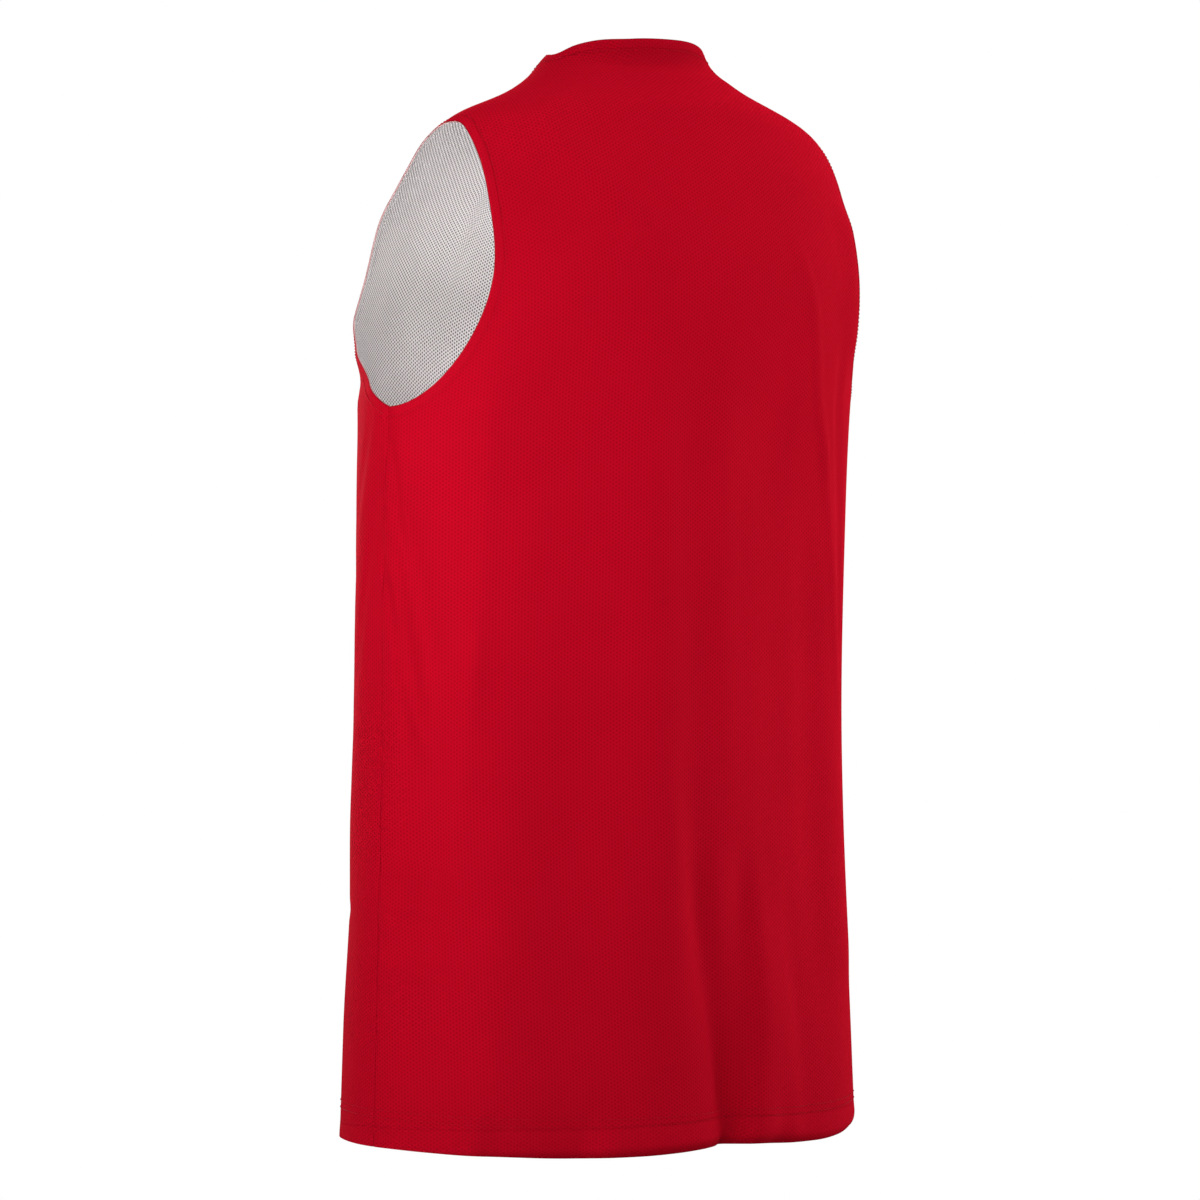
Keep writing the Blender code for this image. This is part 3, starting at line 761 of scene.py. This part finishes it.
def open_edge(rows, columns):
    """True at the grid's border points on the armholes and the neckline."""
    on_edge = np.zeros((rows, columns), bool)
    on_edge[SIDE_ROWS + 1:, (0, -1)] = True
    middle = columns // 2
    on_edge[-1, middle - NECK_COLUMNS:middle + NECK_COLUMNS + 1] = True
    return on_edge


def drawn_in(points):
    """The panel with its side and shoulder seam edges drawn in, so that neighbours stay apart."""
    seam = np.zeros(points.shape[:2])
    seam[:SIDE_ROWS + 1, (0, -1)] = SEAM_INSET
    seam[-1, :SEAM_COLUMNS] = SEAM_INSET
    seam[-1, -SEAM_COLUMNS:] = SEAM_INSET
    return points - outward_along_cloth(points) * seam[..., None]


def outward_along_cloth(points):
    """Unit direction, within the cloth, that leaves the panel at its border; 0 elsewhere."""
    away = np.zeros_like(points)
    away[0] += points[0] - points[1]
    away[-1] += points[-1] - points[-2]
    away[:, 0] += points[:, 0] - points[:, 1]
    away[:, -1] += points[:, -1] - points[:, -2]
    length = np.linalg.norm(away, axis=-1, keepdims=True)
    return away / np.where(length > 0, length, 1)


RIM_RINGS = (
    # share of the rim's reach, share of the thickness sunk, share of the lip risen
    (0.30, 0.04, 0.85),
    (0.75, 0.12, 1.00),
    (1.00, 0.50, 0.45),
    (0.75, 0.88, 0.00),
)


def build_mesh(name, points, faces, uv_maps):
    mesh = bpy.data.meshes.new(name)
    mesh.from_pydata(points.tolist(), [], faces.tolist())
    loop_vertices = np.empty(len(mesh.loops), dtype=np.int32)
    mesh.loops.foreach_get("vertex_index", loop_vertices)
    for map_name, values in uv_maps.items():
        layer = mesh.uv_layers.new(name=map_name)
        layer.data.foreach_set("uv", values[loop_vertices].astype(np.float32).ravel())
    mesh.shade_smooth()
    mesh.validate()
    return mesh


def add_object(name, data):
    thing = bpy.data.objects.new(name, data)
    bpy.context.scene.collection.objects.link(thing)
    return thing


def shell_mesh(name, outer, inner, normal, rim, lip, uv_maps):
    """A closed thin shell between two matching grids, with a rounded rim that may rise to a lip."""
    rows, columns = outer.shape[:2]
    count = rows * columns
    index = np.arange(count).reshape(rows, columns)
    quads = np.stack([index[:-1, :-1], index[:-1, 1:], index[1:, 1:], index[1:, :-1]], axis=-1)
    quads = quads.reshape(-1, 4)
    border = np.concatenate([index[0], index[1:, -1], index[-1, -2::-1], index[-2:0:-1, 0]])
    away, start, facing = (
        grid.reshape(-1, 3)[border] for grid in (outward_along_cloth(outer), outer, normal))
    depth, beyond, rise = (
        grid.reshape(-1)[border] for grid in (np.linalg.norm(outer - inner, axis=-1), rim, lip))
    rings = []
    for share, sink, lifted in RIM_RINGS:
        sunk = depth * sink - rise * lifted
        rings.append(start + away * (beyond * share)[:, None] - facing * sunk[:, None])
    points = np.concatenate([outer.reshape(-1, 3), inner.reshape(-1, 3)] + rings)
    on_rim = 2 * count + np.arange(len(points) - 2 * count).reshape(len(rings), -1)
    loops = [border, *on_rim, border + count]
    faces = [quads[:, ::-1], quads + count]
    for first, second in zip(loops, loops[1:]):
        faces.append(np.stack([first, np.roll(first, -1), np.roll(second, -1), second], axis=-1))
    maps = {}
    for map_name, grid in uv_maps.items():
        values = grid.reshape(-1, 2)
        maps[map_name] = np.concatenate([values, values] + [values[border]] * len(rings))
    return build_mesh(name, points, np.concatenate(faces), maps)


def edge_points(side):
    """The armhole, neck and seam lines of both halves as points on the cloth."""
    arm, neck = LINES[side]
    side_seam = paired(SIDE_SEAM_ANGLE, np.linspace(0, LINES["underarm_level"], LINE_POINTS))
    groups = []
    for lines in ((arm, neck), (LINES["seam"], side_seam)):
        group = []
        for line in lines:
            thinned = line[np.unique(np.linspace(0, len(line) - 1, EDGE_POINTS).astype(int))]
            group += [cloth_point(thinned[:, 0] * mirror, thinned[:, 1]) for mirror in (1, -1)]
        groups.append(group)
    return groups


def cut_panel(name, side, depth, hem_height, piping, lip, edge_roll, material, node):
    """One cut piece as a shell a depth below the cloth's outer face, in place of its solid."""
    places = panel_places(side, hem_height)
    angle, level = places[..., 0], places[..., 1]
    surface = cloth_point(angle, level)
    normal = outward_normal(angle, level, cloth_point)
    open_lines, seam_lines = edge_points(side)
    to_edge = distance_to(surface, open_lines)
    to_seam = distance_to(surface, seam_lines)
    dip = SEAM_DIP * np.exp(-(to_seam / SEAM_DIP_REACH) ** 2)
    roll = edge_roll * np.clip(1 - to_edge / EDGE_ROLL_REACH, 0, 1) ** 2
    drawn = drawn_in(surface - normal * dip[..., None])
    outer = drawn - normal * (depth + roll[..., None])
    inner = drawn - normal * (depth + CLOTH_THICKNESS)
    rows, columns = outer.shape[:2]
    cut = flat_cut(surface)
    above_hem = ring_point(angle, level)[..., 2]
    maps = {"Cut": cut, "Edges": paired(to_edge, to_seam), "Hem": paired(above_hem, 0.0)}
    on_edge = open_edge(rows, columns)
    rim = np.where(on_edge, piping, RIM_BEYOND)
    at_armhole = on_edge & (np.arange(rows) < rows - 1)[:, None]
    mesh = shell_mesh(name, outer, inner, normal, rim, np.where(at_armhole, lip, 0.0), maps)
    mesh.materials.append(material)
    panel = add_object(name, mesh)
    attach(panel, "root")
    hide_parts(node)


# ---- stitches ----

def inset_line(line, mirror, inset):
    """A cut line moved into its panels by a distance over the cloth, as (angle, level) rows."""
    angle, level = line[:, 0] * mirror, line[:, 1]
    along = unit(np.gradient(ring_point(angle, level), axis=0))
    inward = np.cross(outward_normal(angle, level, ring_point), along) * inset
    by_both = np.stack(slopes(angle, level, ring_point), axis=1)
    moves = np.linalg.solve(by_both @ by_both.transpose(0, 2, 1), by_both @ inward[..., None])
    return paired(angle, level) + moves[..., 0]


def stitch_row(line, depth, lift):
    """Short threads lying along a line of (angle, level) on the cloth."""
    runs = lengths_along(cloth_point(line[:, 0], line[:, 1]))
    starts = np.arange(STITCH_PITCH / 2, runs[-1] - STITCH_PITCH / 2, STITCH_PITCH)
    shares = np.linspace(-0.5, 0.5, STITCH_RINGS)
    at = starts[:, None] + shares[None] * STITCH_LENGTH
    angle, level = np.moveaxis(read_off(line, runs, at), -1, 0)
    normal = outward_normal(angle, level, cloth_point)
    centre = cloth_point(angle, level) - normal * depth
    hump = (1 - (2 * shares) ** 2) * STITCH_HUMP - STITCH_SINK
    centre = centre + normal * (lift * hump * 2 * THREAD_RADIUS)[None, :, None]
    along = unit(centre[:, -1] - centre[:, 0])
    side = unit(np.cross(along[:, None], normal))
    radius = THREAD_RADIUS * np.sqrt(np.clip(1 - (STITCH_TAPER * shares) ** 4, STITCH_TIP, 1))
    spin = np.linspace(0, 2 * np.pi, STITCH_SIDES, endpoint=False)
    spokes = side[:, :, None] * np.cos(spin)[:, None] + normal[:, :, None] * np.sin(spin)[:, None]
    return centre[:, :, None] + spokes * radius[None, :, None, None]


def stitch_faces(count):
    """The faces of a number of stitches, each an open tube."""
    ring = np.arange(STITCH_SIDES)
    bands = []
    for k in range(STITCH_RINGS - 1):
        here = k * STITCH_SIDES + ring
        beside = k * STITCH_SIDES + np.roll(ring, -1)
        bands.append(np.stack([here, beside, beside + STITCH_SIDES, here + STITCH_SIDES], axis=-1))
    first = np.arange(count) * STITCH_RINGS * STITCH_SIDES
    return (np.concatenate(bands)[None] + first[:, None, None]).reshape(-1, 4)


def sew(name, lines, depth, lift, material):
    threads = np.concatenate([stitch_row(line, depth, lift) for line in lines])
    mesh = build_mesh(name, threads.reshape(-1, 3), stitch_faces(len(threads)), {})
    mesh.materials.append(material)
    thread = add_object(name, mesh)
    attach(thread, "root")


def sewing_lines(hem_heights):
    """The topstitching of both armholes and the neck, and the hem's rows at these heights."""
    lines = []
    arm = np.concatenate([LINES["back"][0], LINES["front"][0][::-1][1:]])
    neck = np.concatenate([LINES["back"][1], LINES["front"][1][::-1][1:]])
    for mirror in (1, -1):
        lines.append(inset_line(arm, mirror, -mirror * TOPSTITCH_INSET))
        lines.append(inset_line(neck, mirror, mirror * TOPSTITCH_INSET))
    for height in hem_heights:
        lines.append(paired(np.linspace(-180, 180, HEM_LINE_POINTS), level_at(height)))
    return lines


# ---- materials ----

class Nodes:
    """A material's node tree, with short calls for the nodes that the cloth needs."""

    def __init__(self, name):
        self.material = bpy.data.materials.new(name)
        self.material.use_nodes = True
        self.tree = self.material.node_tree
        self.shader = self.tree.nodes["Principled BSDF"]

    def add(self, kind, **settings):
        node = self.tree.nodes.new(kind)
        for key, value in settings.items():
            setattr(node, key, value)
        return node

    def feed(self, node, values):
        """Links or sets a node's inputs, each given by its name or index."""
        for key, value in values.items():
            if hasattr(value, "is_output"):
                self.tree.links.new(value, node.inputs[key])
            else:
                node.inputs[key].default_value = value

    def math(self, operation, *values, clamp=False):
        node = self.add("ShaderNodeMath", operation=operation, use_clamp=clamp)
        self.feed(node, dict(enumerate(values)))
        return node.outputs[0]

    def vector(self, operation, *values, out=0):
        node = self.add("ShaderNodeVectorMath", operation=operation)
        self.feed(node, dict(enumerate(values)))
        return node.outputs[out]

    def ramp(self, value, low, high, to_low, to_high):
        node = self.add("ShaderNodeMapRange", interpolation_type="SMOOTHSTEP")
        self.feed(node, dict(enumerate((value, low, high, to_low, to_high))))
        return node.outputs[0]

    def step(self, value, at, fade, before, after):
        """A soft step where a value passes another, over a share of that one either way."""
        return self.ramp(value, at * (1 - fade), at * (1 + fade), before, after)

    def mix(self, share, first, second):
        node = self.add("ShaderNodeMix", data_type="RGBA")
        self.feed(node, {0: share, 6: first, 7: second})
        return node.outputs[2]

    def uv(self, name):
        return self.add("ShaderNodeUVMap", uv_map=name).outputs[0]

    def place(self):
        return self.add("ShaderNodeTexCoord").outputs["Object"]

    def noise(self, scale, detail=2.0):
        node = self.add("ShaderNodeTexNoise")
        self.feed(node, {"Vector": self.place(), "Scale": scale, "Detail": detail})
        return node.outputs[0]

    def parts(self, vector):
        node = self.add("ShaderNodeSeparateXYZ")
        self.feed(node, {0: vector})
        return node.outputs

    def finish(self, colour, roughness, specular):
        """The shader's colour and gloss, which every material here sets."""
        self.feed(
            self.shader,
            {"Base Color": colour, "Roughness": roughness, "Specular IOR Level": specular})
        return self.material


def eyelet_mask(nodes):
    """1 in each eyelet of a staggered net, 0 on the cloth between, from the flat cut."""
    cell = (EYELET_ACROSS * MM, EYELET_UP * MM, 1.0)
    size = (EYELET_ACROSS, EYELET_UP, 0.0)
    place = nodes.vector("DIVIDE", nodes.uv("Cut"), cell)
    distances = []
    for offset in ((0.0, 0.0, 0.0), (0.5, 0.5, 0.0)):
        inside = nodes.vector("FRACTION", nodes.vector("ADD", place, offset))
        from_centre = nodes.vector("MULTIPLY", nodes.vector("SUBTRACT", inside, (0.5, 0.5, 0.0)), size)
        distances.append(nodes.vector("LENGTH", from_centre, out=1))
    return nodes.step(nodes.math("MINIMUM", *distances), EYELET_RADIUS, EYELET_FADE, 1.0, 0.0)


def line_mask(nodes, distance, at, half):
    """1 on a line at a distance from an edge, fading to 0 a half width away."""
    off = nodes.math("ABSOLUTE", nodes.math("SUBTRACT", distance, at))
    return nodes.ramp(off, 0.0, half, 1.0, 0.0)


def mesh_cloth(name, body, deep, edge, eyelet_share, groove_painted_shade_share, sheen, roughness, relief):
    """Eyelet cloth: the deep colour in eyelets (partly the layer behind) and grooves, the edge colour at
    open edges, as painted shade.
    """
    nodes = Nodes(name)
    eyelets = eyelet_mask(nodes)
    from_edge, from_seam = nodes.parts(nodes.uv("Edges"))[:2]
    above_hem = nodes.parts(nodes.uv("Hem"))[0]
    doubled = nodes.step(from_edge, TOPSTITCH_INSET, EDGE_FADE, EDGE_EYELETS, 1.0)
    hemmed = nodes.step(above_hem, HEM_STITCH_HEIGHT, HEM_FADE, HEM_EYELETS, 1.0)
    open_share = nodes.math("MULTIPLY", nodes.math("MULTIPLY", eyelets, doubled), hemmed)

    groove = line_mask(nodes, from_edge, TOPSTITCH_INSET, STITCH_GROOVE_HALF)
    hem_groove = line_mask(nodes, above_hem, HEM_STITCH_HEIGHT, HEM_GROOVE_HALF)
    seam_groove = line_mask(nodes, from_seam, 0.0, SEAM_GROOVE_HALF)
    seam_groove = nodes.math("MULTIPLY", seam_groove, SEAM_GROOVE_SHARE)
    grooves = nodes.math("MAXIMUM", nodes.math("MAXIMUM", groove, hem_groove), seam_groove)

    # painted shade up the back of the neck, partly the darker doubled cloth there
    at_neck = nodes.ramp(nodes.parts(nodes.place())[2], *NECK_PAINTED_SHADE_SPAN, 0.0, 1.0)
    shade = nodes.ramp(nodes.noise(DRIFT_SCALE, detail=3.0), *DRIFT_RANGE, 0.0, DRIFT_DEPTH)
    yarn = nodes.noise(YARN_SCALE)

    # the eyelets take the deep colour: the layer behind and painted shade in each hole; the drift is the
    # cloth's random tone
    dark = nodes.math("MULTIPLY", open_share, eyelet_share)
    dark = nodes.math("ADD", dark, shade)
    dark = nodes.math("ADD", dark, nodes.math("MULTIPLY", at_neck, NECK_PAINTED_SHADE_SHARE))
    # painted shade in the grooves, besides their real relief below
    dark = nodes.math("ADD", dark, nodes.math("MULTIPLY", grooves, groove_painted_shade_share), clamp=True)
    # painted shadow along the hem's turned edge, where the cloth rounds under
    hem_painted_shadow = nodes.ramp(above_hem, *HEM_PAINTED_SHADOW_SPAN, HEM_PAINTED_SHADOW_SHARE, 0.0)
    # painted shade along the rolled rim of each armhole and the neck
    open_edge_painted_shade = nodes.ramp(from_edge, *OPEN_EDGE_PAINTED_SHADE_SPAN, 1.0, 0.0)
    painted_edge_and_hem_shade = nodes.math("MAXIMUM", hem_painted_shadow, open_edge_painted_shade)
    cloth = nodes.mix(dark, body, deep)

    flatter = nodes.ramp(at_neck, 0.0, 1.0, -relief, -relief * NECK_RELIEF)
    height = nodes.math("MULTIPLY", open_share, flatter)
    height = nodes.math("ADD", height, nodes.math("MULTIPLY", yarn, YARN_RELIEF))
    height = nodes.math("SUBTRACT", height, nodes.math("MULTIPLY", grooves, GROOVE_RELIEF))
    bump = nodes.add("ShaderNodeBump")
    nodes.feed(bump, {"Strength": BUMP_STRENGTH, "Distance": MM, "Height": height})
    tint = tuple(min(1.0, c * SHEEN_TINT) for c in body[:3]) + (1.0,)
    nodes.feed(nodes.shader, {
        "Normal": bump.outputs[0],
        "Sheen Weight": sheen,
        "Sheen Roughness": SHEEN_ROUGHNESS,
        "Sheen Tint": tint,
    })
    return nodes.finish(nodes.mix(painted_edge_and_hem_shade, cloth, edge), roughness, CLOTH_SPECULAR)


def thread_material(name, colour):
    nodes = Nodes(name)
    darker = tuple(c * THREAD_SHADOW for c in colour[:3]) + (1.0,)
    twisted = nodes.mix(nodes.noise(THREAD_TWIST_SCALE), darker, colour)
    return nodes.finish(twisted, THREAD_ROUGHNESS, THREAD_SPECULAR)


# ---- the scene round the jersey ----

def level_directions(azimuth):
    """The level direction from the jersey to a place at an azimuth, and the one to its right."""
    turn = np.radians(azimuth)
    return np.array([np.sin(turn), -np.cos(turn), 0.0]), np.array([np.cos(turn), np.sin(turn), 0.0])


def light_up():
    """A white background for the camera, a dimmer even light from all round, and soft lamps."""
    world = bpy.context.scene.world or bpy.data.worlds.new("studio")
    bpy.context.scene.world = world
    world.use_nodes = True
    tree = world.node_tree
    around = tree.nodes["Background"]
    backdrop = tree.nodes.new("ShaderNodeBackground")
    for background, strength in ((around, AMBIENT), (backdrop, 1.0)):
        background.inputs["Color"].default_value = PURE_WHITE
        background.inputs["Strength"].default_value = strength
    chosen = tree.nodes.new("ShaderNodeMixShader")
    is_camera = tree.nodes.new("ShaderNodeLightPath").outputs["Is Camera Ray"]
    for k, source in enumerate((is_camera, around.outputs[0], backdrop.outputs[0])):
        tree.links.new(source, chosen.inputs[k])
    tree.links.new(chosen.outputs[0], tree.nodes["World Output"].inputs["Surface"])
    across = level_directions(CAMERA_AZIMUTH)[1]
    for lamp in records(LAMP_COLUMNS, LAMPS):
        away = level_directions(CAMERA_AZIMUTH + lamp["turn"])[0]
        place = away * lamp["out"] + UP * lamp["height"]
        aim = across * lamp["aim_aside"] + UP * lamp["aim_height"] - place
        data = bpy.data.lights.new(lamp["name"], "AREA")
        data.shape = "SQUARE"
        data.size = lamp["size"]
        data.energy = lamp["watts"]
        data.spread = np.radians(lamp["spread"])
        light = add_object(lamp["name"], data)
        light.location = place
        light.rotation_euler = Vector(aim).to_track_quat("-Z", "Y").to_euler()
        light.visible_camera = False


def lay_floor():
    """A plain pale round floor well below the jersey."""
    turn = np.linspace(0, 2 * np.pi, FLOOR_SIDES, endpoint=False)
    circle = np.stack([np.cos(turn), np.sin(turn), np.zeros(FLOOR_SIDES)], axis=1) * FLOOR_RADIUS
    points = np.concatenate([np.zeros((1, 3))] + [circle * share for share in FLOOR_RINGS])
    points[:, 2] = FLOOR_HEIGHT
    first = 1 + np.arange(FLOOR_SIDES)
    after = np.roll(first, -1)
    faces = [[0, int(a), int(b)] for a, b in zip(first, after)]
    for k in range(1, len(FLOOR_RINGS)):
        low = (k - 1) * FLOOR_SIDES
        high = k * FLOOR_SIDES
        faces += np.stack([first + low, first + high, after + high, after + low], axis=1).tolist()
    mesh = bpy.data.meshes.new("floor")
    mesh.from_pydata(points.tolist(), [], faces)
    nodes = Nodes("pale_floor")
    speckled = nodes.mix(nodes.noise(FLOOR_SPECKLE_SCALE), FLOOR_LOW, FLOOR_HIGH)
    mesh.materials.append(nodes.finish(speckled, FLOOR_ROUGHNESS, FLOOR_SPECULAR))
    floor = add_object("floor", mesh)


def place_camera():
    away, right = level_directions(CAMERA_AZIMUTH)
    camera_data = bpy.data.cameras.new("camera")
    camera = add_object("camera", camera_data)
    camera.location = away * CAMERA_DISTANCE + right * CAMERA_ASIDE + UP * CAMERA_HEIGHT
    camera.rotation_euler = (np.pi / 2, 0.0, np.radians(CAMERA_AZIMUTH))
    camera_data.sensor_width = SENSOR
    camera_data.lens = CAMERA_LENS
    bpy.context.scene.camera = camera


def main():
    bpy.context.scene.view_settings.view_transform = "Standard"
    red_mesh = mesh_cloth(
        "red_eyelet_mesh", RED, RED_DEEP_AND_PAINTED_SHADE, RED_PAINTED_EDGE_SHADE,
        eyelet_share=0.74, groove_painted_shade_share=0.15, sheen=0.08, roughness=0.85, relief=0.12)
    white_mesh = mesh_cloth(
        "white_eyelet_mesh", WHITE, WHITE_DEEP_AND_PAINTED_SHADE, WHITE_PAINTED_EDGE_SHADE,
        eyelet_share=1.0, groove_painted_shade_share=0.45, sheen=0.05, roughness=0.9, relief=0.15)
    red_thread = thread_material("red_thread", RED)
    white_thread = thread_material("white_thread", WHITE)
    reverse_depth = CLOTH_THICKNESS + LAYER_GAP
    for side in ("back", "front"):
        cut_panel(
            side + "_red", side, depth=0.0, hem_height=0.0,
            piping=OPEN_RIM_BEYOND, lip=0.0, edge_roll=EDGE_ROLL_IN,
            material=red_mesh, node=side + "_outer")
        cut_panel(
            side + "_white", side, depth=reverse_depth, hem_height=REVERSE_HEM_RISE,
            piping=PIPING_BEYOND, lip=PIPING_LIP, edge_roll=0.0,
            material=white_mesh, node=side + "_reverse")
    outer_lines = sewing_lines((HEM_STITCH_HEIGHT, HEM_STITCH_HEIGHT + HEM_ROW_GAP))
    sew("red_stitches", outer_lines, 0.0, 1.0, red_thread)
    reverse_lines = sewing_lines((HEM_STITCH_HEIGHT + REVERSE_HEM_RISE,))
    inner_face = reverse_depth + CLOTH_THICKNESS
    sew("white_stitches", reverse_lines, inner_face, -1.0, white_thread)
    light_up()
    lay_floor()
    place_camera()


main()
